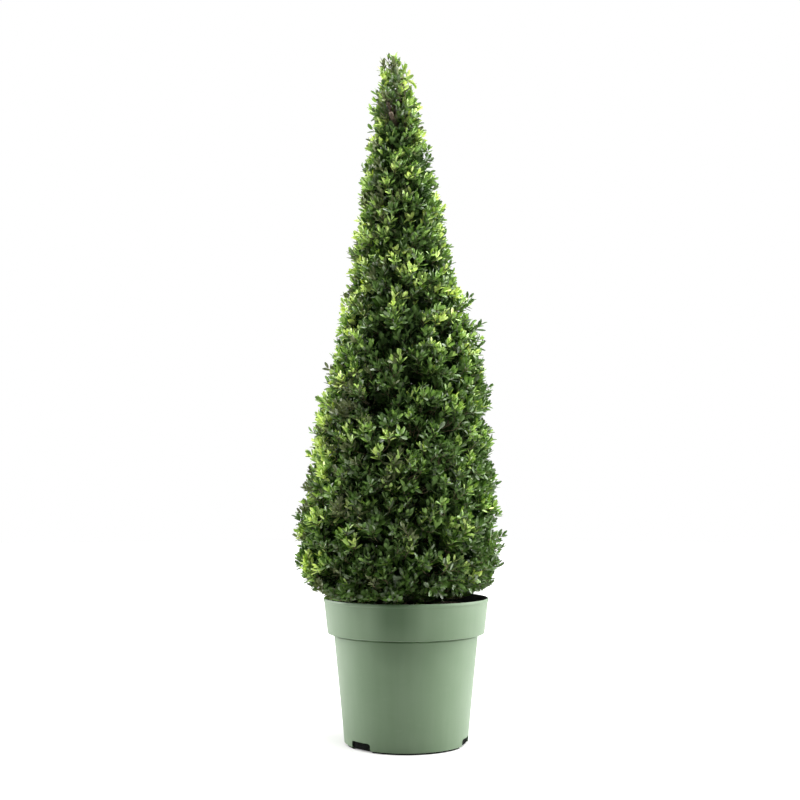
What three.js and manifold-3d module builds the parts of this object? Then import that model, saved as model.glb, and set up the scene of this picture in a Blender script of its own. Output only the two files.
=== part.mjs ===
// A box plant clipped to a tall cone, growing in a round nursery container.
// Millimetres, +Z up, -Y is the front. The origin is the centre of the container's flat underside.
import * as THREE from "three";
import { mergeVertices } from "three/addons/utils/BufferGeometryUtils.js";
import Module from "manifold-3d";

const wasm = await Module();
wasm.setup();

// Driving dimensions: the container
const potHeight = 242;
const rimRadius = 140;
const rimDepth = 59;
const rimTaper = 7;
const rimStep = 11;
const lipHeight = 6;
const lipOut = 1.2;
const footRadius = 104;
const footCorner = 3;
const bandCorner = 1.5;
const wall = 2.4;
const base = 3.2;
const potSides = 48;
const bandFoot = potHeight - rimDepth;
const bandFootRadius = rimRadius - rimTaper;
const bodyTop = bandFootRadius - rimStep;

// Drainage notches, cut through the foot of the wall
const notchCount = 3;
const notchWidth = 44;
const notchHeight = 14.5;
const notchDepth = 22;
const notchCorner = 4;
const firstNotch = THREE.MathUtils.degToRad(224);

// The potting soil and the stem
const soilBelowRim = 12;
const soilMound = 4;
const seatMargin = 4;
const clearance = 0.4;
const stemFoot = 12;
const stemTip = 4;
const stemTop = 1092;
const stemTaper = 0.85;
const stemSides = 9;
const stemRings = 20;
const stemRingSpacing = 1.5;
const flareGrowth = 0.75;
const flareHeight = 20;
const soilLevel = potHeight - soilBelowRim;

// The stem's line, at equal steps of height from the soil to the plant's tip: sideways, then to the back
const plantTop = 1190;
const sway = [[-16, 0], [-13, 4], [-2, -3], [-9, 5], [-15, 1], [-25, -3]];
const swayStep = (plantTop - soilLevel) / (sway.length - 1);
const stemLine = new THREE.CatmullRomCurve3(
  sway.map(([x, y], i) => new THREE.Vector3(x, y, soilLevel + i * swayStep)),
  false,
  "catmullrom",
);

// The clipped outline, as radius and height, from the skirt inside the rim to the tip
const skirt = [[84, 240], [139, 256], [167, 305]];
const flank = [[173, 360], [165, 480], [142, 590], [107, 735], [91, 830], [79, 920]];
const spire = [[49, 1040], [33, 1130], [11, 1186]];
const outline = new THREE.SplineCurve(
  [...skirt, ...flank, ...spire].map(([radius, height]) => new THREE.Vector2(radius, height)),
);

// Soft waves in the clipped surface: their height as a share of its radius, how many go round, how steeply
// they climb and where they start
const waves = [
  { share: 0.034, around: 2, climb: 62, start: 2.9 },
  { share: 0.016, around: 3, climb: -49, start: 3.3 },
  { share: 0.018, around: 5, climb: 30, start: 5.1 },
];

// Foliage: a core, and sprays of leafy twigs that stand out of it
const seed = 29;
const sprayCount = 102;
const sprayRise = 0.7;
const sprayInset = 0.4;
const azimuthJitter = 0.2;
const forkShare = 0.25;
const forkTurn = 1.2;
const forkLength = 0.75;
const forkThickness = 0.8;
const leafLength = 44;
const leafWidth = 20;
const leafThickness = 1.6;
const leafFold = 3;
const leafSizes = [0.9, 1.1];
const twigRadius = 2;
const twigTaper = 0.6;
const leafLean = [48, 70];
const leafFoot = 2.5;
const pairGap = 12;
const shortestTwig = pairGap + 3 * leafFoot;
const proud = 12;
const coreInset = 26;
const coreShare = 0.3;
const coreRoughness = 6;
const coreSides = 20;
const coreRings = 16;
const coreBottom = soilLevel + 12;
const rootDepth = 9;
const overRim = 12;
const overSoil = 3;
const rimClearance = 2;

// Upright sprigs at the tip
const tipSprigs = 3;
const tipLeafShare = 0.8;
const tipLeafRise = 0.93;
const tipLean = [6, 20];
const tipSpread = 14;
const tipStep = 12;

// Long shoots that the shears missed, as height, azimuth and how far they stand out
const strayShoots = [
  [752, 0.1, 14],
  [630, 3, 12],
  [594, -0.2, 10],
  [376, 3.2, 3],
  [345, -0.05, 6],
  [860, 1.7, 10],
];

const coreTop = outline.points.at(-2).y;
const up = new THREE.Vector3(0, 0, 1);
const goldenAngle = Math.PI * (3 - Math.sqrt(5));

// A small seeded generator, so that every build gives the same plant
function seeded(state) {
  return () => {
    state = (state + 0x6d2b79f5) | 0;
    let t = Math.imul(state ^ (state >>> 15), 1 | state);
    t = (t + Math.imul(t ^ (t >>> 7), 61 | t)) ^ t;
    return ((t ^ (t >>> 14)) >>> 0) / 2 ** 32;
  };
}
const random = seeded(seed);

function between(low, high) {
  return low + (high - low) * random();
}

// A geometry whose faces share their vertices
function mergedOf(geometry) {
  const bare = geometry.clone();
  bare.deleteAttribute("normal");
  bare.deleteAttribute("uv");
  return mergeVertices(bare, 1e-4);
}

// A closed geometry as a solid that can be joined and cut
function solidOf(geometry) {
  const merged = mergedOf(geometry);
  return new wasm.Manifold(
    new wasm.Mesh({
      numProp: 3,
      vertProperties: new Float32Array(merged.attributes.position.array),
      triVerts: new Uint32Array(merged.index.array),
    }),
  );
}

function solidFrom(points, faces) {
  const geometry = new THREE.BufferGeometry().setFromPoints(points);
  geometry.setIndex(faces.flat());
  return solidOf(geometry);
}

function meshOf(name, solid, look) {
  const { vertProperties, triVerts } = solid.getMesh();
  const indexed = new THREE.BufferGeometry();
  indexed.setAttribute("position", new THREE.BufferAttribute(new Float32Array(vertProperties), 3));
  indexed.setIndex(new THREE.BufferAttribute(new Uint32Array(triVerts), 1));
  const geometry = indexed.toNonIndexed();
  geometry.computeVertexNormals();
  const mesh = new THREE.Mesh(geometry, new THREE.MeshStandardMaterial(look));
  mesh.name = name;
  return mesh;
}

// A profile of [radius, height] pairs turned round the upright axis
function turned(profile, sides) {
  const points = profile.map(([radius, height]) => new THREE.Vector2(radius, height));
  return new THREE.LatheGeometry(points, sides).rotateX(Math.PI / 2);
}

function centreAt(height) {
  const share = THREE.MathUtils.clamp(THREE.MathUtils.inverseLerp(soilLevel, plantTop, height), 0, 1);
  return stemLine.getPoint(share);
}

// How far the clipped surface stands in or out of the plain cone, as a share of its radius
function unevenness(azimuth, height) {
  return waves.reduce(
    (sum, { share, around, climb, start }) => sum + share * Math.sin(around * azimuth + height / climb + start),
    0,
  );
}

// The container's inside, from the middle of its floor up to the lip
function insideProfile(gap) {
  return [
    [0, base + gap],
    [footRadius - wall - gap, base + gap],
    [bodyTop - wall - gap, bandFoot + wall + gap],
    [bandFootRadius - wall - gap, bandFoot + wall + gap],
  ];
}

// The container's inner radius beside the soil, where its wall is the rim band
function bandRadius(height) {
  return THREE.MathUtils.mapLinear(height, bandFoot + wall, potHeight, bandFootRadius - wall, rimRadius - wall);
}

function makePot() {
  const outside = [
    [0, 0],
    [footRadius - footCorner, 0],
    [footRadius, footCorner],
    [bodyTop, bandFoot],
    [bandFootRadius - bandCorner, bandFoot],
    [bandFootRadius, bandFoot + bandCorner],
    [rimRadius - lipOut, potHeight - lipHeight],
    [rimRadius, potHeight - lipHeight + 1],
    [rimRadius, potHeight - 1],
    [rimRadius - 1, potHeight],
    [rimRadius - wall, potHeight],
  ];
  let pot = solidOf(turned([...outside, ...insideProfile(0).reverse()], potSides));

  const half = notchWidth / 2;
  const shape = new THREE.Shape()
    .moveTo(-half, -1)
    .lineTo(half, -1)
    .lineTo(half, notchHeight - notchCorner)
    .quadraticCurveTo(half, notchHeight, half - notchCorner, notchHeight)
    .lineTo(notchCorner - half, notchHeight)
    .quadraticCurveTo(-half, notchHeight, -half, notchHeight - notchCorner)
    .closePath();
  const cut = { depth: notchDepth, bevelEnabled: false, curveSegments: 2 };
  for (let i = 0; i < notchCount; i += 1) {
    const notch = new THREE.ExtrudeGeometry(shape, cut);
    notch.rotateX(Math.PI / 2).rotateZ(Math.PI / 2);
    notch.translate(footRadius - notchDepth / 2, 0, 0);
    notch.rotateZ(firstNotch + (i * 2 * Math.PI) / notchCount);
    pot = pot.subtract(solidOf(notch));
  }
  return meshOf("pot", pot, { color: 0x7d9674, roughness: 0.45, metalness: 0 });
}

// Soil up to just under the rim, mounded a little, with a flat seat for the stem
function makeSoil() {
  const seat = stemFoot * (1 + flareGrowth) + Math.abs(sway[0][0]) + seatMargin;
  const edgeHeight = soilLevel - soilMound;
  const edge = bandRadius(edgeHeight) - clearance;
  const top = [[edge, edgeHeight], [edge * 0.7, soilLevel - 1], [seat, soilLevel], [0, soilLevel]];
  const geometry = turned([...insideProfile(clearance), ...top], potSides);
  return meshOf("soil", solidOf(geometry), { color: 0x1c140e, roughness: 1, metalness: 0 });
}

function stemRadius(height, spare) {
  const share = THREE.MathUtils.clamp((height - soilLevel) / (stemTop - soilLevel), 0, 1);
  const taper = THREE.MathUtils.lerp(stemFoot, stemTip, share ** stemTaper);
  return taper * (1 + flareGrowth * Math.exp(-(height - soilLevel) / flareHeight)) + spare;
}

// The stem: a cylinder whose rings follow the stem's line, closest together at the root flare
function stemSolid(spare) {
  const foot = soilLevel + clearance - spare;
  const top = stemTop + spare;
  const geometry = new THREE.CylinderGeometry(1, 1, 1, stemSides, stemRings).rotateX(Math.PI / 2);
  const place = geometry.attributes.position;
  for (let i = 0; i < place.count; i += 1) {
    const height = THREE.MathUtils.lerp(foot, top, (place.getZ(i) + 0.5) ** stemRingSpacing);
    const across = Math.hypot(place.getX(i), place.getY(i)) * stemRadius(height, spare);
    const point = placeAt(across, Math.atan2(place.getY(i), place.getX(i)), height);
    place.setXYZ(i, point.x, point.y, point.z);
  }
  return solidOf(geometry);
}

function outwardAt(azimuth) {
  return new THREE.Vector3(Math.cos(azimuth), Math.sin(azimuth), 0);
}

// The point at a radius, azimuth and height about the stem's line
function placeAt(radius, azimuth, height) {
  return centreAt(height).setZ(height).addScaledVector(outwardAt(azimuth), radius);
}

// The clipped surface's radius at a height, read off the outline
const outlineSteps = outline.getPoints(240);
function clippedRadius(azimuth, height) {
  const next = outlineSteps.findIndex((point) => point.y > height);
  const above = outlineSteps.at(next);
  const below = outlineSteps[Math.max(next, 1) - 1];
  const plain = next < 1 ? above.x : THREE.MathUtils.mapLinear(height, below.y, above.y, below.x, above.x);
  return plain * (1 + unevenness(azimuth, height));
}

function coreRadius(azimuth, height) {
  const reach = clippedRadius(azimuth, height);
  return reach - Math.min(coreInset, coreShare * reach);
}

// Shares of the outline's length that give each spray an equal piece of the clipped surface
function evenShares(count) {
  const steps = 400;
  const areas = [0];
  for (let i = 1; i <= steps; i += 1) {
    areas.push(areas[i - 1] + outline.getPointAt((i - 0.5) / steps).x + leafLength / 2);
  }
  const shares = [];
  for (let i = 0, step = 0; i < count; i += 1) {
    const wanted = (areas[steps] * (i + 0.5)) / count;
    while (areas[step + 1] < wanted) step += 1;
    shares.push((step + (wanted - areas[step]) / (areas[step + 1] - areas[step])) / steps);
  }
  return shares;
}

// The core's rings follow the outline, and its surface is rough, like the twigs and leaves packed behind it
function makeCore() {
  const heights = outline.getPoints(coreRings).map((point) => point.y);
  const rings = heights.filter((height) => height > coreBottom && height <= coreTop);
  const levels = [coreBottom, ...rings];
  const geometry = turned([[0, coreBottom], ...levels.map((height) => [1, height]), [0, coreTop]], coreSides);
  const merged = mergedOf(geometry);
  const place = merged.attributes.position;
  for (let i = 0; i < place.count; i += 1) {
    const height = place.getZ(i);
    const azimuth = Math.atan2(place.getY(i), place.getX(i));
    const rough = between(-1, 1) * Math.min(coreRoughness, 0.1 * coreRadius(azimuth, height));
    const across = Math.hypot(place.getX(i), place.getY(i)) * (coreRadius(azimuth, height) + rough);
    const point = placeAt(across, azimuth, height);
    place.setXYZ(i, point.x, point.y, point.z);
  }
  return solidOf(merged);
}

// A unit vector square to a direction, level wherever the direction isn't nearly upright
function acrossOf(along) {
  const reference = Math.abs(along.z) > 0.9 ? new THREE.Vector3(1, 0, 0) : up;
  return new THREE.Vector3().crossVectors(along, reference).normalize();
}

// True where a leaf or twig stays in the foliage's own space, clear of the container and the soil, and stands
// out of the clipped surface by no more than its spray may
function keepsClear(points, stand) {
  return points.every((point) => {
    const fromAxis = Math.hypot(point.x, point.y);
    const floor = fromAxis < rimRadius - overRim ? soilLevel + overSoil : potHeight + rimClearance;
    const centre = centreAt(point.z);
    const azimuth = Math.atan2(point.y - centre.y, point.x - centre.x);
    const reach = clippedRadius(azimuth, Math.min(point.z, outlineSteps.at(-1).y - 1)) + proud + stand;
    const radius = Math.hypot(point.x - centre.x, point.y - centre.y);
    return point.z > floor && point.z <= plantTop && radius < reach;
  });
}

// A leaf drawn out of one side of a twig: its four corners, the rib and the edges halfway, and the tip
function addLeaf(points, faces, corners, heading, along, length, stand) {
  const right = new THREE.Vector3().crossVectors(along, heading).normalize();
  const above = new THREE.Vector3().crossVectors(heading, right);
  const foot = corners.reduce((sum, corner) => sum.add(points[corner]), new THREE.Vector3()).divideScalar(4);
  const size = length / leafLength;
  const spot = (far, across, rise) =>
    foot
      .clone()
      .addScaledVector(heading, far * length)
      .addScaledVector(right, across * size)
      .addScaledVector(above, rise * size);
  const leaf = [
    spot(0.5, 0, -leafThickness / 2),
    spot(0.55, leafWidth / 2, leafFold),
    spot(0.5, 0, leafThickness / 2),
    spot(0.55, -leafWidth / 2, leafFold),
    spot(1, 0, -leafFold),
  ];
  if (!keepsClear(leaf, stand)) return false;
  const first = points.length;
  points.push(...leaf);
  for (let k = 0; k < 4; k += 1) {
    const next = (k + 1) % 4;
    faces.push([corners[k], corners[next], first + k], [corners[next], first + next, first + k]);
    faces.push([first + k, first + next, first + 4]);
  }
  return true;
}

const usualTwig = { radius: twigRadius, pairs: 2, length: leafLength, lean: leafLean, stand: 0 };

// A three-sided tapering twig with pairs of opposite leaves, each pair turned a quarter from the last
function leafyTwig(root, tip, turn, options = {}) {
  const { radius, pairs, length, lean, stand } = { ...usualTwig, ...options };
  const along = tip.clone().sub(root);
  const reach = along.length();
  along.normalize();
  const armAt = (angle) => acrossOf(along).applyAxisAngle(along, angle);
  const stations = [0];
  for (let pair = pairs - 1; pair >= 0; pair -= 1) {
    stations.push(reach - pair * pairGap - leafFoot, reach - pair * pairGap);
  }
  const points = stations.flatMap((station) => {
    const size = radius * THREE.MathUtils.lerp(1, twigTaper, station / reach);
    const centre = root.clone().addScaledVector(along, station);
    return [0, 1, 2].map((i) => centre.clone().addScaledVector(armAt((i * 2 * Math.PI) / 3), size));
  });
  const faces = [[0, 2, 1], [2, 1, 0].map((i) => points.length - 1 - i)];
  for (let level = 0; level < stations.length - 1; level += 1) {
    const free = [0, 1, 2];
    const quad = (i) => [i, (i + 1) % 3, 3 + ((i + 1) % 3), 3 + i].map((corner) => level * 3 + corner);
    for (const way of level % 2 ? [0, Math.PI] : []) {
      const angle = turn + (level * Math.PI) / 4 + way;
      const outward = armAt(angle);
      const facing = (i) => outward.dot(armAt(((i * 2 + 1) * Math.PI) / 3));
      free.sort((a, b) => facing(b) - facing(a));
      const spread = THREE.MathUtils.degToRad(between(...lean));
      const heading = outward.multiplyScalar(Math.sin(spread)).addScaledVector(along, Math.cos(spread));
      const size = length * between(...leafSizes);
      if (addLeaf(points, faces, quad(free[0]), heading, along, size, stand)) free.shift();
    }
    for (const i of free) {
      const [a, b, c, d] = quad(i);
      faces.push([a, b, c], [a, c, d]);
    }
  }
  return solidFrom(points, faces);
}

// One spray: a leafy twig out of the core, and on some a leafy side twig
function addSpray(pieces, azimuth, height, normal, stand) {
  const heading = normal.clone().addScaledVector(up, sprayRise).normalize();
  const outer = placeAt(clippedRadius(azimuth, height) + stand, azimuth, height);
  const tip = outer.addScaledVector(heading, -leafLength * sprayInset);
  const rootHeight = THREE.MathUtils.clamp(tip.z - coreInset, coreBottom + rootDepth, coreTop - rootDepth);
  const root = placeAt(Math.max(coreRadius(azimuth, rootHeight) - rootDepth, 3), azimuth, rootHeight);
  if (!keepsClear([tip], stand) || tip.distanceTo(root) < shortestTwig) return;
  pieces.push(leafyTwig(root, tip, between(0, Math.PI), { stand }));

  if (random() > forkShare) return;
  const way = random() < 0.5 ? 1 : -1;
  const fork = root.clone().lerp(tip, 0.5);
  const along = tip.clone().sub(root).normalize();
  const forkHeading = along.addScaledVector(outwardAt(azimuth + Math.PI / 2), way * forkTurn).normalize();
  const forkTip = fork.clone().addScaledVector(forkHeading, leafLength * forkLength);
  if (!keepsClear([forkTip], stand)) return;
  const thinner = { radius: twigRadius * forkThickness, pairs: 1, stand };
  pieces.push(leafyTwig(fork, forkTip, between(0, Math.PI), thinner));
}

// Upright sprigs out of the top of the core; the first reaches the plant's tip
function addTipSprig(pieces, index) {
  const azimuth = index * goldenAngle;
  const length = leafLength * tipLeafShare;
  const foot = placeAt(0, 0, coreTop - rootDepth);
  const top = placeAt(index ? tipSpread : 1, azimuth, plantTop - length * tipLeafRise - index * tipStep);
  pieces.push(leafyTwig(foot, top, azimuth, { pairs: 1, length, lean: tipLean }));
}

function makeFoliage() {
  const pieces = [makeCore()];
  evenShares(sprayCount).forEach((share, i) => {
    const azimuth = i * goldenAngle + between(-azimuthJitter, azimuthJitter);
    const slope = outline.getTangentAt(share);
    const normal = outwardAt(azimuth).multiplyScalar(slope.y).setZ(-slope.x);
    addSpray(pieces, azimuth, outline.getPointAt(share).y, normal, 0);
  });
  for (const [height, azimuth, stand] of strayShoots) {
    addSpray(pieces, azimuth, height, outwardAt(azimuth), stand);
  }
  for (let i = 0; i < tipSprigs; i += 1) addTipSprig(pieces, i);
  const joined = wasm.Manifold.union(pieces).subtract(stemSolid(clearance));
  const [whole] = joined.decompose().sort((a, b) => b.volume() - a.volume());
  return meshOf("foliage_cone", whole, { color: 0x2f4a22, roughness: 0.5, metalness: 0, flatShading: true });
}

const topiary = new THREE.Group();
topiary.add(makePot());
topiary.add(makeSoil());
topiary.add(meshOf("stem", stemSolid(0), { color: 0x6f6047, roughness: 0.9, metalness: 0 }));
topiary.add(makeFoliage());

export default topiary;
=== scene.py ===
# A box plant clipped to a tall cone, in a round nursery pot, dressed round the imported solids.
# Metres, +Z up.
import math

import bpy
import numpy as np
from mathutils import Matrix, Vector


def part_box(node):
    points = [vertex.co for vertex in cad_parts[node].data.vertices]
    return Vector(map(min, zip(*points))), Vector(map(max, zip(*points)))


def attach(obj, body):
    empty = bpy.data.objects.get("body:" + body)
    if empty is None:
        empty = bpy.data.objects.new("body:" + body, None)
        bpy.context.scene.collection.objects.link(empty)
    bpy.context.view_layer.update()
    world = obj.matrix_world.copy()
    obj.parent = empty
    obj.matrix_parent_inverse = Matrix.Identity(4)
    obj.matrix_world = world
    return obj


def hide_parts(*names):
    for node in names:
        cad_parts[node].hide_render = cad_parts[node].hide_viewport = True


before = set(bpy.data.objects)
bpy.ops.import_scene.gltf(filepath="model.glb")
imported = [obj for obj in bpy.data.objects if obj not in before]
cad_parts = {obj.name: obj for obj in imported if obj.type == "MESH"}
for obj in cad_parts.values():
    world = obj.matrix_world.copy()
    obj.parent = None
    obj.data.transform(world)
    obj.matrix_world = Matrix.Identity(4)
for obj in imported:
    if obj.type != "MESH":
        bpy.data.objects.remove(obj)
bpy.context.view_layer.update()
random = np.random.default_rng(31)  # the same plant every time
uniform = random.uniform
print("frame loaded:", ", ".join(sorted(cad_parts)))


def toMode(mode):
    bpy.ops.object.mode_set(mode=mode)


# Back to object mode with nothing selected, as an operator acts on all that is selected
def clearSelection():
    if bpy.context.object and bpy.context.object.mode != "OBJECT":
        toMode("OBJECT")
    bpy.ops.object.select_all(action="DESELECT")


def makeActive(piece):
    clearSelection()
    piece.select_set(True)
    bpy.context.view_layer.objects.active = piece


def applyModifier(piece, kind, **settings):
    makeActive(piece)
    modifier = piece.modifiers.new(kind.title(), kind)
    for key, value in settings.items():
        setattr(modifier, key, value)
    bpy.ops.object.modifier_apply(modifier=modifier.name)


# Relief from a cloud texture, in one group of points or in all
def roughen(piece, name, size, detail, strength, middle, group=""):
    clouds = bpy.data.textures.new(name, "CLOUDS")
    clouds.noise_scale, clouds.noise_depth = size, detail
    applyModifier(
        piece, "DISPLACE", texture=clouds, texture_coords="LOCAL", strength=strength,
        mid_level=middle, vertex_group=group,
    )


def smoothByAngle(piece, degrees):
    makeActive(piece)
    bpy.ops.object.shade_smooth_by_angle(angle=math.radians(degrees))


# A disc extruded and resized from one (radius, height) to the next, round a moving centre
def turnProfile(name, profile, sides, centreOf=lambda height: (0, 0)):
    clearSelection()
    (radius, height), (x, y) = profile[0], centreOf(profile[0][1])
    bpy.ops.mesh.primitive_circle_add(
        vertices=sides, radius=radius, fill_type="NGON", location=(x, y, height)
    )
    piece = bpy.context.object
    piece.name = piece.data.name = name
    bpy.ops.object.transform_apply(location=True, rotation=True, scale=True)
    toMode("EDIT")
    bpy.ops.mesh.select_all(action="SELECT")
    for nextRadius, nextHeight in profile[1:]:
        nextX, nextY = centreOf(nextHeight)
        step = (nextX - x, nextY - y, nextHeight - height)
        growth = nextRadius / radius
        bpy.ops.mesh.extrude_region_move(TRANSFORM_OT_translate={"value": step})
        centre = (nextX, nextY, nextHeight)
        bpy.ops.transform.resize(value=(growth, growth, 1), center_override=centre)
        x, y, radius, height = nextX, nextY, nextRadius, nextHeight
    bpy.ops.mesh.select_all(action="SELECT")
    bpy.ops.mesh.normals_make_consistent(inside=False)
    toMode("OBJECT")
    return piece


# A mesh from arrays of points and triangles, with a material number for each triangle
def meshFrom(name, points, triangles, slots=None):
    mesh = bpy.data.meshes.new(name)
    mesh.vertices.add(len(points))
    mesh.vertices.foreach_set("co", np.ascontiguousarray(points, np.float32).ravel())
    mesh.loops.add(triangles.size)
    mesh.loops.foreach_set("vertex_index", np.ascontiguousarray(triangles, np.int32).ravel())
    mesh.polygons.add(len(triangles))
    mesh.polygons.foreach_set("loop_start", np.arange(0, triangles.size, 3, dtype=np.int32))
    if slots is not None:
        mesh.polygons.foreach_set("material_index", np.ascontiguousarray(slots, np.int32))
    mesh.update(calc_edges=True)
    piece = bpy.data.objects.new(name, mesh)
    bpy.context.scene.collection.objects.link(piece)
    return piece


# A modelled piece's points and triangles as arrays
def meshArrays(piece):
    points = np.zeros(len(piece.data.vertices) * 3)
    piece.data.vertices.foreach_get("co", points)
    piece.data.calc_loop_triangles()
    faces = np.array([triangle.vertices[:] for triangle in piece.data.loop_triangles])
    return points.reshape(-1, 3), faces


# The triangles of so many copies of a shape
def copies(faces, size, count):
    return (faces[None] + (np.arange(count) * size)[:, None, None]).reshape(-1, 3)


# Materials on the piece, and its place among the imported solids
def dress(piece, looks, node):
    for look in looks:
        piece.data.materials.append(look)
    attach(piece, "root")
    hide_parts(node)


# A wrapped socket that adds its own nodes, so that a look is written as sums
class Shade:
    def __init__(self, tree, socket=None):
        self.tree, self.socket = tree, socket

    def make(self, kind, settings=None, inputs=None, output=0):
        node = self.tree.nodes.new("ShaderNode" + kind)
        for key, value in (settings or {}).items():
            setattr(node, key, value)
        for key, value in (inputs or {}).items():
            if isinstance(value, Shade):
                self.tree.links.new(value.socket, node.inputs[key])
            else:
                node.inputs[key].default_value = value
        return Shade(self.tree, node.outputs[output] if len(node.outputs) else None)

    def maths(self, operation, first, second):
        return self.make("Math", {"operation": operation}, {0: first, 1: second})

    def __add__(self, other):
        return self.maths("ADD", self, other)

    def __sub__(self, other):
        return self.maths("SUBTRACT", self, other)

    def __rsub__(self, other):
        return self.maths("SUBTRACT", other, self)

    def __mul__(self, other):
        return self.maths("MULTIPLY", self, other)

    __radd__, __rmul__ = __add__, __mul__

    # 0 below low, 1 above high
    def between(self, low, high):
        return self.make("MapRange", None, {"Value": self, "From Min": low, "From Max": high})

    # x, y or z of this vector, by its number
    def axis(self, number):
        return self.make("SeparateXYZ", None, {"Vector": self}, number)

    # noise at this place
    def noise(self, scale, detail=2.0, stretch=(1, 1, 1)):
        place = self.make("Mapping", None, {"Vector": self, "Scale": stretch})
        return self.make("TexNoise", None, {"Vector": place, "Scale": scale, "Detail": detail})

    # this much of the second colour over the first, in sockets 6 and 7
    def mix(self, first, second):
        sockets = {0: self}
        for slot, colour in ((6, first), (7, second)):
            sockets[slot] = colour if isinstance(colour, Shade) else (*colour, 1)
        return self.make("Mix", {"data_type": "RGBA"}, sockets, 2)

    # this height as relief
    def relief(self, strength, distance):
        return self.make("Bump", None, {"Height": self, "Strength": strength, "Distance": distance})

    def finish(self):
        self.make("OutputMaterial", None, {"Surface": self})


def startLook(name):
    look = bpy.data.materials.new(name)
    look.use_nodes = True
    look.node_tree.nodes.clear()
    return look, Shade(look.node_tree).make("TexCoord", output="Object")


# The pot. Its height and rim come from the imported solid
_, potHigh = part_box("pot")
pot = {
    "height": potHigh.z, "rimRadius": potHigh.x, "bandDepth": 0.059,
    "bandTaper": 0.007, "step": 0.011, "footRadius": 0.104,
    "wall": 0.0024, "base": 0.0032,
    "rounding": {  # steps outwards and up from each corner of the outside
        "foot": [(-0.004, 0), (-0.004, 0.0026), (-0.0012, 0.0028), (-0.0002, 0.0034), (0, 0.0046)],
        "ledge": [(-0.0002, -0.004), (-0.0014, -0.0018), (-0.0014, 0)],
        "band": [(-0.002, 0), (-0.0006, 0.0006), (0, 0.002)],
        "lip": [
            (-0.0013, -0.0066), (-0.0011, -0.0058), (-0.0004, -0.0054), (0, -0.0046),
            (0, -0.0016), (-0.0004, -0.0005), (-0.0011, 0),
        ],
        "lipInside": [(0.0008, 0), (0, -0.0006)],
    },
    "sides": 128,
    "underside": (0.0027, 0.001),  # painted shade up to this height, so far inside the foot
    "notches": 3, "firstNotch": math.radians(224),
    "notchSize": (0.022, 0.044, 0.0145), "notchCorner": 0.004,
    "green": (0.091, 0.144, 0.078), "paleGreen": (0.117, 0.17, 0.103),
    # a painted shadow of the foliage on the band's front: its colour, and where it lies
    "paintedShadow": (0.04, 0.078, 0.032), "paintedShadowFront": (0.0, -0.08),
    "paintedShadowHeight": (-0.05, 0.03),  # from the foot of the band
    "paintedShadowLeft": (-0.062, -0.03), "paintedShadowRight": (0.032, -0.006),
    # painted shade in the corner under the band's ledge: its colour, and where it lies
    "ledgeShade": (0.045, 0.06, 0.036),
    "ledgeShadeBelow": (-0.0032, -0.0012),  # from the foot of the band
    "ledgeShadeAbove": (0.0003, -0.0001), "inside": (0.006, 0.008, 0.006),
    "insideDust": (0.016, 0.018, 0.013), "roughness": 0.54,
}
bandFoot = pot["height"] - pot["bandDepth"]
bandRadius = pot["rimRadius"] - pot["bandTaper"]
bodyTop = bandRadius - pot["step"]


# The pot's outside, from the foot up over the ledge and band to the lip
def outsideProfile():
    corners = {
        "foot": (pot["footRadius"], 0),
        "ledge": (bodyTop, bandFoot),
        "band": (bandRadius, bandFoot),
        "lip": (pot["rimRadius"], pot["height"]),
        "lipInside": (pot["rimRadius"] - pot["wall"], pot["height"]),
    }
    return [
        (radius + outwards, height + upwards)
        for corner, (radius, height) in corners.items()
        for outwards, upwards in pot["rounding"][corner]
    ]


# The inside from under the band down to the base, set in by a gap for what fills it
def insideProfile(gap):
    wall, floor = pot["wall"] + gap, pot["base"] + gap
    return [
        (bandRadius - wall, bandFoot + wall),
        (bodyTop - wall, bandFoot + wall),
        (pot["footRadius"] - wall, floor),
    ]


# A block across the foot of the wall with two rounded upper corners
def notchCutter(angle):
    depth, width, height = pot["notchSize"]
    below = 0.001  # so that it cuts right through the foot
    x, y = math.cos(angle) * pot["footRadius"], math.sin(angle) * pot["footRadius"]
    middle = (x, y, (height - below) / 2)
    outward = Vector((math.cos(angle), math.sin(angle), 0))
    clearSelection()
    bpy.ops.mesh.primitive_cube_add(
        size=1, location=middle, rotation=(0, 0, angle), scale=(depth, width, height + below)
    )
    cutter = bpy.context.object
    bpy.ops.object.transform_apply(location=True, rotation=True, scale=True)
    toMode("EDIT")
    bpy.ops.mesh.select_all(action="DESELECT")
    toMode("OBJECT")
    for edge in cutter.data.edges:  # the two upper edges that run through the wall
        first, second = (cutter.data.vertices[i].co for i in edge.vertices)
        isUpper = min(first.z, second.z) > height / 2
        edge.select = isUpper and abs((second - first).normalized().dot(outward)) > 0.9
    toMode("EDIT")
    bpy.ops.mesh.select_mode(type="EDGE")
    bpy.ops.mesh.bevel(offset=pot["notchCorner"], segments=4)
    toMode("OBJECT")
    return cutter


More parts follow.
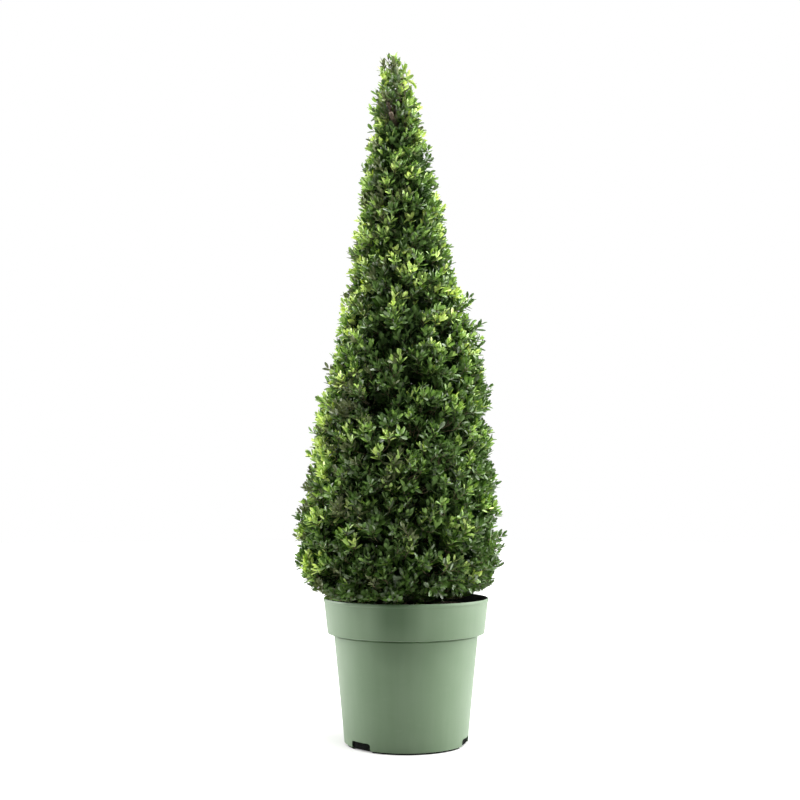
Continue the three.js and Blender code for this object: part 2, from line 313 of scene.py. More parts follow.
def potLooks():
    look, place = startLook("sage_green_plastic")
    cloud = place.noise(9, 3).between(0.3, 0.7)
    drawn = place.noise(60, 2, (1, 1, 0.05)).between(0.35, 0.65)  # faint upright flow marks
    scuff = place.noise(38, 6, (1, 1, 2.5)).between(0.6, 0.72)
    grain = place.noise(1400, 2)
    tone = (cloud * 0.55 + drawn * 0.2 + scuff * 0.25).mix(pot["green"], pot["paleGreen"])
    side, front, height = place.axis(0), place.axis(1), place.axis(2)

    def fromBand(low, high):
        return height.between(bandFoot + low, bandFoot + high)

    # a painted shadow of the overhanging foliage on the band's front, and patchy painted shade in
    # the corner under the band
    paintedShadow = front.between(*pot["paintedShadowFront"]) * fromBand(*pot["paintedShadowHeight"])
    paintedShadow = paintedShadow * side.between(*pot["paintedShadowLeft"]) * side.between(*pot["paintedShadowRight"])
    tone = (paintedShadow * 0.95).mix(tone, pot["paintedShadow"])
    # patchy painted shade in the corner under the band
    corner = fromBand(*pot["ledgeShadeBelow"]) * fromBand(*pot["ledgeShadeAbove"])
    corner = corner * place.noise(38, 3).between(0.42, 0.62) * 0.8
    tone = corner.mix(tone, pot["ledgeShade"])
    place.make("BsdfPrincipled", None, {
        "Base Color": tone,
        "Roughness": pot["roughness"] + 0.1 * scuff - 0.06 * cloud,
        "Normal": (grain + 1.5 * drawn).relief(0.12, 0.0004),
        "Specular IOR Level": 0.3,
        "Sheen Weight": 0.15,
        "Sheen Roughness": 0.45,
    }).finish()
    # the pot's dark inside plastic, also used as painted shade under the foot
    dark, place = startLook("dark_plastic_inside_and_painted_shade")
    dust = place.noise(70, 4).between(0.55, 0.8)
    place.make("BsdfPrincipled", None, {
        "Base Color": dust.mix(pot["inside"], pot["insideDust"]),
        "Roughness": 0.6 + 0.3 * dust,
        "Specular IOR Level": 0.05,
        "Normal": place.noise(900).relief(0.1, 0.0004),
    }).finish()
    return [look, dark]


def makePot():
    piece = turnProfile("pot_shell", outsideProfile() + insideProfile(0), pot["sides"])
    for i in range(pot["notches"]):
        cutter = notchCutter(pot["firstNotch"] + i * 2 * math.pi / pot["notches"])
        applyModifier(piece, "BOOLEAN", operation="DIFFERENCE", solver="EXACT", object=cutter)
        bpy.data.objects.remove(cutter)
    dress(piece, potLooks(), "pot")
    rise, inset = pot["underside"]
    for face in piece.data.polygons:  # what faces in, and the notches' roofs, are the dark inside plastic; what faces down under the foot gets it as painted shade
        outward = Vector((face.center.x, face.center.y, 0)).normalized()
        inner = face.normal.dot(outward) < -0.3 and face.center.z > pot["base"]
        inNotch = face.normal.z > 0.5 and face.center.z < pot["notchSize"][2]
        underneath = face.center.z < rise and face.center.xy.length < pot["footRadius"] - inset
        face.material_index = int(inner or inNotch or underneath)
    smoothByAngle(piece, 28)


makePot()
print("pot made")


# The compost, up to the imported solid's level
_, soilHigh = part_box("soil")
soil = {
    "level": soilHigh.z, "mound": 0.004, "gap": 0.0004, "rings": 26,
    "sides": 120, "relief": 0.0028, "lumpSize": 0.009, "crumbs": 900,
    "crumbSize": (0.0012, 0.0042), "crumbInset": 0.006,
    # the first colour is painted shade low in the pot
    "lowSoilShade": (0.003, 0.004, 0.003), "dark": (0.012, 0.0085, 0.006),
    "brown": (0.05, 0.035, 0.024),
}


def soilLook():
    look, place = startLook("damp_potting_soil")
    clod = place.noise(60, 5).between(0.35, 0.75)
    grit = place.noise(420, 3)
    tone = (clod * 0.6 + grit.between(0.5, 0.8) * 0.4).mix(soil["dark"], soil["brown"])
    rise = place.axis(2).between(0.03, 0.2)  # painted shade: black towards the bottom
    place.make("BsdfPrincipled", None, {
        "Base Color": rise.mix(soil["lowSoilShade"], tone),
        "Roughness": 0.95 - 0.2 * clod,
        "Normal": (grit + clod).relief(0.7, 0.002),
        "Specular IOR Level": 0.05,
    }).finish()
    return look


def makeSoil():
    edgeHeight = soil["level"] - soil["mound"]
    edge = pot["rimRadius"] - pot["wall"] - soil["gap"]
    edge -= pot["bandTaper"] * (pot["height"] - edgeHeight) / (pot["bandDepth"] - pot["wall"])
    top = [
        (edge * (1 - share), edgeHeight + soil["mound"] * math.sin(share * math.pi / 2))
        for share in (i / soil["rings"] for i in range(soil["rings"]))
    ]
    body = turnProfile("soil_body", insideProfile(soil["gap"])[::-1] + top, soil["sides"])
    inner = [v.index for v in body.data.vertices if v.co.z > edgeHeight + 1e-5]
    body.vertex_groups.new(name="top").add(inner, 1, "REPLACE")
    roughen(body, "soilLumps", soil["lumpSize"], 3, soil["relief"], 0.6, "top")
    body.vertex_groups.clear()
    look = soilLook()
    dress(body, [look], "soil")
    smoothByAngle(body, 50)

    # loose crumbs, each a squashed and bent ball
    clearSelection()
    bpy.ops.mesh.primitive_ico_sphere_add(subdivisions=1, radius=1)
    ball = bpy.context.object
    shape, faces = meshArrays(ball)
    bpy.data.objects.remove(ball)
    count = soil["crumbs"]
    radius = (edge - soil["crumbInset"]) * np.sqrt(random.random(count))
    azimuth = random.random(count) * 2 * math.pi
    height = edgeHeight + soil["mound"] * np.sin((1 - radius / edge) * math.pi / 2)
    centre = np.stack([radius * np.cos(azimuth), radius * np.sin(azimuth), height], 1)
    size = uniform(*soil["crumbSize"], (count, 1, 1))
    size = size * uniform(0.5, 1, (count, 1, 3))
    bend = uniform(-0.25, 0.25, (count, len(shape), 1))
    points = centre[:, None] + shape[None] * (1 + bend) * size * 0.6
    crumbs = meshFrom("soil_crumbs", points.reshape(-1, 3), copies(faces, len(shape), count))
    dress(crumbs, [look], "soil")


makeSoil()
print("soil made")


# The plant's lines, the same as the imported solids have
foliageLow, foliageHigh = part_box("foliage_cone")
stemLow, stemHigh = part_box("stem")
plant = {
    "top": 1.198,
    "sway": [
        (-0.016, 0), (-0.012, 0.004), (0.001, -0.003), (-0.006, 0.005), (-0.013, 0.001),
        (-0.024, -0.003),
    ],
    "skirt": [(0.084, 0.24), (0.139, 0.256), (0.165, 0.305)],
    "flank": [
        (0.17, 0.36), (0.164, 0.48), (0.142, 0.59), (0.108, 0.735), (0.091, 0.83),
        (0.079, 0.92),
    ],
    "spire": [(0.049, 1.04), (0.033, 1.13), (0.012, 1.186)],
    "proud": 0.012,  # how far leaves may stand out of the clipped surface
    "clear": (0.012, 0.003, 0.002),  # of the rim, the soil and the pot's top
    "tipShare": 0.022,  # added to each radius, so that the narrow tip gets its part
}
# soft waves in the clipped surface: share of its radius, how many go round, climb and start
waves = [(0.034, 2, 0.062, 2.9), (0.016, 3, -0.049, 3.3), (0.018, 5, 0.03, 5.1)]
goldenAngle = math.pi * (3 - math.sqrt(5))
up = np.array([0.0, 0.0, 1.0])


# From 0 at the start to 1 after so long a span, which runs down where it is below 0
def ramp(value, start, span):
    return np.clip((value - start) / span, 0, 1)


# 1 at the middle, falling off over the width on both sides
def bell(value, middle, width):
    return np.exp(-(((value - middle) / width) ** 2))


# A smooth line through evenly spaced points, at shares of its length in points
def lineThrough(points, shares, straightEnds):
    points = np.asarray(points, float)
    before, after = points[[0, -1]]
    if straightEnds:
        before, after = 2 * points[0] - points[1], 2 * points[-1] - points[-2]
    padded = np.vstack([before, points, after])
    place = np.clip(shares, 0, 1) * (len(points) - 1)
    span = np.minimum(place.astype(int), len(points) - 2)
    t = (place - span)[..., None]
    a, b, c, d = (padded[span + k] for k in range(4))
    square, cube = 2 * a - 5 * b + 4 * c - d, 3 * b - a - 3 * c + d
    return 0.5 * (2 * b + (c - a) * t + square * t**2 + cube * t**3)


clippedLine = plant["skirt"] + plant["flank"] + plant["spire"]
outline = lineThrough(clippedLine, np.linspace(0, 1, 1200), False)
print("plant laid out from", round(foliageLow.z, 3), "to", round(foliageHigh.z, 3))


def centreAt(height):
    height = np.asarray(height, float)
    share = (height - soil["level"]) / (plant["top"] - soil["level"])
    return lineThrough(plant["sway"], share, True)


def unevenness(azimuth, height):
    return sum(
        share * np.sin(around * azimuth + height / climb + start)
        for share, around, climb, start in waves
    )


def clippedRadius(azimuth, height):
    return np.interp(height, outline[:, 1], outline[:, 0]) * (1 + unevenness(azimuth, height))


def outwardAt(azimuth):
    return np.stack([np.cos(azimuth), np.sin(azimuth), np.zeros_like(azimuth)], -1)


def placeAt(radius, azimuth, height):
    point = outwardAt(azimuth) * np.asarray(radius)[..., None]
    point[..., :2] += centreAt(height)
    point[..., 2] = height
    return point


def onSurface(azimuth, height):
    return placeAt(clippedRadius(azimuth, height), azimuth, height)


def lengthOf(vectors):
    return np.linalg.norm(vectors, axis=-1)


def unit(vectors):
    return vectors / np.maximum(lengthOf(vectors)[..., None], 1e-12)


def dot(first, second):
    return (first * second).sum(-1, keepdims=True)


# Azimuths, heights and outward directions that share the clipped surface out evenly
def evenPlaces(count):
    steps = lengthOf(np.diff(outline, axis=0))
    middle = (outline[1:] + outline[:-1]) / 2
    areas = np.concatenate([[0], np.cumsum(steps * (middle[:, 0] + plant["tipShare"]))])
    wanted = areas[-1] * (np.arange(count) + 0.5) / count
    order = np.arange(len(outline))
    place = np.interp(wanted, areas, order)
    slope = unit(np.gradient(outline, axis=0))
    rows = (outline[:, 1], slope[:, 0], slope[:, 1])
    height, across, rise = (np.interp(place, order, row) for row in rows)
    azimuth = np.arange(count) * goldenAngle + uniform(-0.2, 0.2, count)
    normal = outwardAt(azimuth) * rise[:, None]
    normal[:, 2] = -across
    return azimuth, height, normal


# True where a point is clear of pot and soil and stands out no more than it may
def keepsClear(points, stand):
    fromAxis = np.hypot(points[..., 0], points[..., 1])
    rim, overSoil, overPot = plant["clear"]
    isInside = fromAxis < pot["rimRadius"] - rim
    floor = np.where(isInside, soil["level"] + overSoil, pot["height"] + overPot)
    offset = points[..., :2] - centreAt(points[..., 2])
    azimuth = np.arctan2(offset[..., 1], offset[..., 0])
    height = np.minimum(points[..., 2], outline[-1, 1])
    reach = clippedRadius(azimuth, height) + plant["proud"] + stand
    radius = np.hypot(offset[..., 0], offset[..., 1])
    return (points[..., 2] > floor) & (points[..., 2] <= plant["top"]) & (radius < reach)


# Points along curved twigs that leave their roots and bend towards their tips
def along(root, bend, tip, share):
    t = share[..., None]
    return (1 - t) ** 2 * root[:, None] + 2 * t * (1 - t) * bend[:, None] + t**2 * tip[:, None]


def headingAlong(root, bend, tip, share):
    t = share[..., None]
    return unit(2 * (1 - t) * (bend - root)[:, None] + 2 * t * (tip - bend)[:, None])


# Closed tapering tubes round rows of centres
def tubes(centres, radii, sides, roughness=0.0):
    count, rings = centres.shape[:2]
    heading = unit(np.gradient(centres, axis=1))
    whole = unit(centres[:, -1] - centres[:, 0])
    upright = np.abs(whole[:, 2:]) > 0.8
    reference = np.where(upright, [[1.0, 0.0, 0.0]], [[0.0, 0.0, 1.0]])[:, None]
    across = unit(np.cross(heading, reference))
    above = np.cross(heading, across)
    angle = (np.arange(sides) * 2 * math.pi / sides)[:, None]
    size = radii[:, :, None] * (1 + uniform(-roughness, roughness, (count, rings, sides)))
    ring = across[:, :, None] * np.cos(angle) + above[:, :, None] * np.sin(angle)
    points = (centres[:, :, None] + ring * size[..., None]).reshape(-1, 3)
    side = np.arange(sides)
    following = (side + 1) % sides
    faces = []
    for level in range(rings - 1):
        low, high = level * sides, (level + 1) * sides
        faces.append(np.stack([low + side, low + following, high + following], 1))
        faces.append(np.stack([low + side, high + following, high + side], 1))
    fan = np.stack([np.zeros(sides - 2, int), side[1:-1], side[2:]], 1)
    faces += [fan[:, ::-1], fan + (rings - 1) * sides]
    return points, copies(np.vstack(faces), rings * sides, count)


# The one upright leader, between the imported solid's two ends
stem = {
    "foot": 0.012, "tip": 0.004, "taper": 0.85, "top": stemHigh.z,
    "start": stemLow.z, "flareGrowth": 0.75, "flareHeight": 0.02,
    "rings": 120, "ringSpread": 1.3, "sides": 20, "relief": 0.0012,
    "ridgeSize": 0.006, "grey": (0.16, 0.125, 0.085),
    "brown": (0.075, 0.05, 0.03),
}


def stemRadius(height):
    share = ramp(height, soil["level"], stem["top"] - soil["level"])
    radius = stem["foot"] + (stem["tip"] - stem["foot"]) * share ** stem["taper"]
    flare = np.exp(-(height - soil["level"]) / stem["flareHeight"])
    return radius * (1 + stem["flareGrowth"] * flare)


def barkLook(name, pale, dark, scale):
    look, place = startLook(name)
    fissure = place.noise(scale, 5, (1, 1, 0.22)).between(0.35, 0.65)
    patch = place.noise(scale * 0.25, 3).between(0.4, 0.7)
    tone = (fissure * 0.7 + patch * 0.3).mix(dark, pale)
    place.make("BsdfPrincipled", None, {
        "Base Color": tone,
        "Roughness": 0.9 - 0.15 * patch,
        "Normal": fissure.relief(0.8, 0.0008),
    }).finish()
    return look


def makeStem():
    rings = [i / stem["rings"] for i in range(stem["rings"] + 1)]
    stemSpan = stem["top"] - stem["start"]
    heights = [stem["start"] + stemSpan * share ** stem["ringSpread"] for share in rings]
    profile = [(float(stemRadius(height)), height) for height in heights]
    piece = turnProfile("stem_bark", profile, stem["sides"], lambda height: tuple(centreAt(height)))
    roughen(piece, "barkRidges", stem["ridgeSize"], 2, stem["relief"], 0.5)
    dress(piece, [barkLook("grey_brown_bark", stem["grey"], stem["brown"], 420)], "stem")
    smoothByAngle(piece, 60)


makeStem()
print("stem made")


# Boughs from the stem, branches from the nearest lower wood, and the cut end of an old leader
# with the shoot that took over from it
wood = {
    "boughs": {
        "count": 96, "rings": 9, "sides": 7, "radius": 0.0022, "growth": 0.02, "taper": 0.6,
        "depth": 0.42, "drop": 0.5, "sink": 0.4, "bend": 0.5, "lift": 0.5,
    },
    "branches": {
        "count": 430, "rings": 7, "sides": 5, "radius": 0.0012, "growth": 0.01, "taper": 0.5,
        "depth": (0.044, 0.062), "most": 0.55, "drop": 0.012, "bend": 0.45, "lift": 0.7,
    },
    "thinTop": (1.2, 0.25, 0.3),  # no thickness at this height, full so far below, and the least
    "trunkPoints": 90,
    "rise": 0.45,  # least climb from a root to its tip, as a share of the way
    "nearest": 0.022,
    "leader": [(-0.015, 0.000, 1.05), (-0.02, -0.008, 1.06)],
    "leaderEnd": [(-0.026, -0.034, 1.073), (-0.031, -0.026, 1.096)],
    "leaderRadius": [[0.0047], [0.003]],
    "bark": (0.118, 0.086, 0.052),
    "barkDark": (0.05, 0.036, 0.021),
}


# For each tip, the point that it grows from: the nearest one that lies well below
def nearestBelow(tips, points, rise):
    chosen = np.zeros(len(tips), int)
    batch = 400  # as many tips at a time as fit in memory
    for start in range(0, len(tips), batch):
        gap = tips[start:start + batch, None] - points[None]
        distance = lengthOf(gap)
        tooHigh = np.maximum(rise * distance - gap[..., 2], 0)
        tooNear = np.maximum(wood["nearest"] - distance, 0)
        chosen[start:start + batch] = np.argmin(distance + 1.6 * tooHigh + 3 * tooNear, axis=1)
    return points[chosen]


# Tubes along bent wood that taper, thicker where they are longer
def limbs(root, bend, tip, kind, thinning=1):
    share = np.tile(np.linspace(0, 1, kind["rings"]), (len(tip), 1))
    span = lengthOf(tip - root)[:, None]
    lines = along(root, bend, tip, share)
    thick = (kind["radius"] + kind["growth"] * span) * thinning
    return lines, tubes(lines, thick * (1 - kind["taper"] * share), kind["sides"], 0.1)


# Rows of points and faces as one mesh
def meshOfTubes(name, rows):
    starts = np.cumsum([0] + [len(points) for points, _ in rows[:-1]])
    faces = [faces + start for (_, faces), start in zip(rows, starts)]
    return meshFrom(name, np.vstack([points for points, _ in rows]), np.vstack(faces))


def growWood():
    bough, branch = wood["boughs"], wood["branches"]
    azimuth, height, _ = evenPlaces(bough["count"])
    reach = clippedRadius(azimuth, height)
    tipHeight = np.maximum(height, soil["level"] + 0.03)
    tip = placeAt(reach * (1 - bough["depth"]), azimuth, tipHeight)
    rootHeight = tip[:, 2] - bough["drop"] * reach
    rootHeight = np.clip(rootHeight, soil["level"] + 0.012, stem["top"] - 0.02)
    root = placeAt(stemRadius(rootHeight) * bough["sink"], azimuth, rootHeight)
    span = lengthOf(tip - root)[:, None]
    bend = root + bough["bend"] * span * unit(outwardAt(azimuth) + bough["lift"] * up)
    noneAt, fullBelow, least = wood["thinTop"]
    thinning = np.clip((noneAt - height) / fullBelow, least, 1)[:, None]
    boughs, boughTubes = limbs(root, bend, tip, bough, thinning)

    count = wood["trunkPoints"]
    trunkHeights = np.linspace(soil["level"] + 0.02, stem["top"] - 0.004, count)
    trunk = placeAt(np.zeros(count), np.zeros(count), trunkHeights)
    sources = np.vstack([boughs[:, 4:].reshape(-1, 3), trunk])
    azimuth, height, normal = evenPlaces(branch["count"])
    reach = clippedRadius(azimuth, height)
    depth = np.minimum(uniform(*branch["depth"], len(reach)), branch["most"] * reach)
    height = np.clip(height - branch["drop"], soil["level"] + 0.014, stem["top"] + 0.02)
    tip = placeAt(reach - depth, azimuth, height)
    root = nearestBelow(tip, sources, wood["rise"])
    span = lengthOf(tip - root)[:, None]
    bend = tip - branch["bend"] * span * unit(normal + branch["lift"] * up)
    branches, branchTubes = limbs(root, bend, tip, branch)

    start, end = np.array(wood["leader"]), np.array(wood["leaderEnd"])
    share = np.linspace(0, 1, branch["rings"])
    places = start[:, None] + (end - start)[:, None] * share[:, None]
    leaderTubes = tubes(places, np.array(wood["leaderRadius"]) * (1 - 0.15 * share), 9, 0.2)
    piece = meshOfTubes("boughs_and_branches", [boughTubes, branchTubes, leaderTubes])
    bark = barkLook("branch_bark", wood["bark"], wood["barkDark"], 500)
    dress(piece, [bark], "foliage_cone")
    return np.vstack([branches[:, 2:].reshape(-1, 3), boughs[:, 5:].reshape(-1, 3), trunk])


woodPoints = growWood()
print("boughs and branches grown")


# The sprays: leafy twigs with side twigs, outside, inside, and scattered under the skirt.
# A lift tells how steeply they point up, and a stand how far past the clipped surface they may
spray = {
    "count": 2300, "offset": (-0.02, 0.005), "lump": 0.005,
    "lift": 0.95,
    "tipLift": (1.6, 1.08, 0.08),  # this much more, from this height, over this span
    "airy": (0.5, 1.08, 0.05),  # this share left out, from this height, over this span
    "scatter": 0.22, "hollows": 150, "hollowRadius": (0.01, 0.021),
    "hollowDepth": 0.028, "cleftRadius": 0.021, "cleftDepth": 0.044,
    "bare": [  # none below this height on this side
        (0.274, (math.radians(-88), math.radians(-22))),
        (0.272, (math.radians(150), math.radians(224))),
    ],
    "window": (1.072, 0.024, (-2.3, -1.1)),  # none before the old cut: height, half, side
    "inner": {"count": 2450, "depth": (0.03, 0.1), "most": 0.75, "top": 1.06, "bare": 0.285},
    "core": {"share": 0.2, "depth": (0.55, 0.85)},
    "hanging": {
        "count": 70, "side": (math.radians(224), math.radians(272)), "height": (0.246, 0.257),
        "offset": (0.002, 0.02), "stand": 0.022, "lift": -0.35,
    },
    "sparse": {
        "count": 20, "side": (math.radians(-68), math.radians(-12)), "height": (0.256, 0.273),
        "offset": (-0.018, 0.004), "stand": 0.004, "lift": -0.6,
    },
    "rise": 0.35, "pairs": 5, "gap": (0.0058, 0.008),
    "size": (0.88, 1.1), "innerSize": 1.45, "middleSize": 1.8,
    "behindCut": {"place": (-0.018, 1.083), "half": (0.022, 0.033), "from": 0.002, "size": 1.4},
    "twigRadius": 0.0008, "twig": (0.27, 0.25, 0.125),
    "twigDark": (0.13, 0.11, 0.05),
}
sideTwig = {
    "nodes": (1.6, 2.6),  # how many leaf gaps back from the tip
    "lean": (36, 56), "length": (0.014, 0.023),
    "noneAbove": (1.1, 1.19), "pairs": 3, "gap": (0.005, 0.0066),
    "size": 0.92,
}
# leaves in opposite pairs: spread in degrees and share of the full length, newest pair first
pair = {
    "length": (0.0145, 0.018), "width": (0.36, 0.46),
    "spread": [(15, 34), (32, 52), (48, 70)],
    "young": [0.8, 0.94, 1.0], "tilt": 0.16,
    "openFrom": 1.11,  # so few pairs above this height
    "openPairs": 4,
}
# long shoots that the shears missed: azimuth, height and how far out
strayShoots = np.array([
    (0.1, 0.752, 0.014), (-0.1, 0.743, 0.012), (-0.05, 0.7, 0.013), (0.15, 0.672, 0.012),
    (3.0, 0.63, 0.012), (-0.2, 0.594, 0.01), (3.2, 0.376, 0.003), (-0.05, 0.345, 0.006),
    (1.7, 0.86, 0.01), (1.2, 0.52, 0.012),
])
# deep gaps in the front, by azimuth in degrees and height
clefts = np.array([
    (-86, 0.901), (-53, 0.939), (-103, 0.579), (-82, 0.617), (-86, 0.523), (-61, 0.524),
    (-85, 0.437), (-73, 0.444), (-133, 0.766), (-32, 0.755), (-71, 0.352), (-66, 0.305),
    (-104, 0.353), (-105, 0.684), (-83, 0.735),
])
# sprays deep inside that close a gap right through: azimuth, height and how far out
fillSprays = np.array([
    (1.965, 0.676, -0.06), (2.1, 0.69, -0.07), (1.8, 0.662, -0.05), (1.95, 0.7, -0.08),
])
# places of the upright sprigs at the tip
tipSprigs = np.array([
    (-0.04, -0.004, 1.171), (-0.031, 0.004, 1.181), (-0.022, -0.004, 1.186),
    (-0.013, 0.002, 1.173), (-0.005, 0.000, 1.162), (0.004, 0.000, 1.149),
])


def isBetween(azimuth, side):
    middle, half = (side[0] + side[1]) / 2, (side[1] - side[0]) / 2
    return np.cos(azimuth - middle) > math.cos(half)


# A field of soft lumps over the surface, between about -1 and 1
def lumps(azimuth, height, wavelength, phase):
    rise = height / wavelength * 2
    return (
        np.sin(7 * azimuth + rise * 2.1 + phase)
        + np.sin(11 * azimuth - rise * 2.9 + phase * 2.3)
        + np.sin(4 * azimuth + rise * 4.3 + phase * 0.7)
    ) / 3


def tangentFrame(heading):
    reference = np.where(np.abs(heading[..., 2:]) > 0.9, [1.0, 0.0, 0.0], [0.0, 0.0, 1.0])
    across = unit(np.cross(heading, reference))
    return across, np.cross(heading, across)


leafRows = {key: [] for key in ("foot", "heading", "above", "length", "rank", "spray", "stand")}


# Opposite leaves along twigs: rank 0 is the newest pair, at the tip
def addPairs(root, bend, tip, pairs, gap, turn, size, sprayIds, stand, rankShift):
    pairLimit = np.where(tip[:, 2] > pair["openFrom"], pair["openPairs"], pairs)
    span = lengthOf(tip - bend) + lengthOf(bend - root)
    for rank in range(pairs):
        share = 1 - (rank * gap + 0.001) / span
        fits = (share > 0.12) & (rank < pairLimit)
        share = np.clip(share, 0, 1)[:, None]
        foot = along(root, bend, tip, share)[:, 0]
        heading = headingAlong(root, bend, tip, share)[:, 0]
        first, second = tangentFrame(heading)
        angle = (turn + rank * math.pi / 2)[:, None]
        outward = first * np.cos(angle) + second * np.sin(angle)
        age = min(rank, 2)
        for way in (1, -1):
            spread = np.radians(uniform(*pair["spread"][age], (len(foot), 1)))
            direction = heading * np.cos(spread) + way * outward * np.sin(spread)
            direction = unit(direction + 0.12 * up)
            above = heading + 0.45 * up + random.normal(0, pair["tilt"], direction.shape)
            above = unit(above - dot(above, direction) * direction)
            length = uniform(*pair["length"], len(foot)) * pair["young"][age] * size
            keep = fits & keepsClear(foot + direction * length[:, None], stand)
            grown = {
                "foot": foot, "heading": direction, "above": above, "length": length,
                "rank": np.full(len(foot), rank + rankShift), "spray": sprayIds, "stand": stand,
            }
            for key, row in grown.items():
                leafRows[key].append(row[keep])


def azimuthOf(points):
    offset = points[:, :2] - centreAt(points[:, 2])
    return np.arctan2(offset[:, 1], offset[:, 0])


# Sprays scattered over part of the skirt
def scattered(kind):
    azimuth = uniform(*kind["side"], kind["count"])
    height = uniform(*kind["height"], kind["count"])
    offset = uniform(*kind["offset"], kind["count"])
    return azimuth, height, outwardAt(azimuth), offset, kind["stand"], kind["lift"]


# True for points that are nearer than this to one of the places
def isNear(points, places, radius):
    return (lengthOf(points[:, None] - places[None]) < radius).any(1)


# The sprays over the clipped surface
def outerSprays():
    azimuth, height, normal = evenPlaces(spray["count"])
    height = height + random.normal(0, 0.004, len(height))
    offset = random.normal(*spray["offset"], len(height))
    offset = offset + spray["lump"] * lumps(azimuth, height, 0.06, 0.4)
    surface = onSurface(azimuth, height)

    # hollows between the tufts, where the eye falls into the dark, and the clefts
    holeAzimuth, holeHeight, _ = evenPlaces(spray["hollows"])
    holeHeight = holeHeight + random.normal(0, 0.02, len(holeHeight))
    hole = onSurface(holeAzimuth, holeHeight)
    inHole = isNear(surface, hole, uniform(*spray["hollowRadius"], len(hole)))
    cleft = onSurface(np.radians(clefts[:, 0]), clefts[:, 1])
    inCleft = isNear(surface, cleft, spray["cleftRadius"])
    offset = np.where(inHole & (height < 1.1), offset - spray["hollowDepth"], offset)
    offset = np.where(inCleft & ~inHole, offset - spray["cleftDepth"], offset)

    # thin at the tip, bare under the skirt, and bare before the end of the old leader
    most, start, span = spray["airy"]
    cut, half, side = spray["window"]
    bare = (np.abs(height - cut) < half) & isBetween(azimuth, side)
    for below, side in spray["bare"]:
        bare |= (height < below) & isBetween(azimuth, side)
    stays = (random.random(len(height)) > most * ramp(height, start, span)) & ~bare
    more, start, span = spray["tipLift"]
    lift = spray["lift"] + more * ramp(height, start, span)
    return azimuth[stays], height[stays], normal[stays], offset[stays], 0.0, lift[stays]


# The sprays inside, which close the core
def innerSprays():
    inner, core = spray["inner"], spray["core"]
    azimuth, height, normal = evenPlaces(inner["count"])
    reach = clippedRadius(azimuth, height)
    depth = np.minimum(uniform(*inner["depth"], len(reach)), inner["most"] * reach)
    inCore = random.random(len(reach)) < core["share"]
    depth = np.where(inCore, uniform(*core["depth"], len(reach)) * reach, depth)
    bare = (height < inner["bare"]) & isBetween(azimuth, spray["bare"][0][1])
    grows = (height < inner["top"]) & ~bare
    return azimuth[grows], height[grows], normal[grows], -depth[grows], 0.0, spray["lift"]


def thinTwigs(root, bend, tip, rings, taper):
    share = np.tile(np.linspace(0, 1, rings), (len(tip), 1))
    radii = spray["twigRadius"] * (taper[0] - taper[1] * share)
    return tubes(along(root, bend, tip, share), radii, 3)


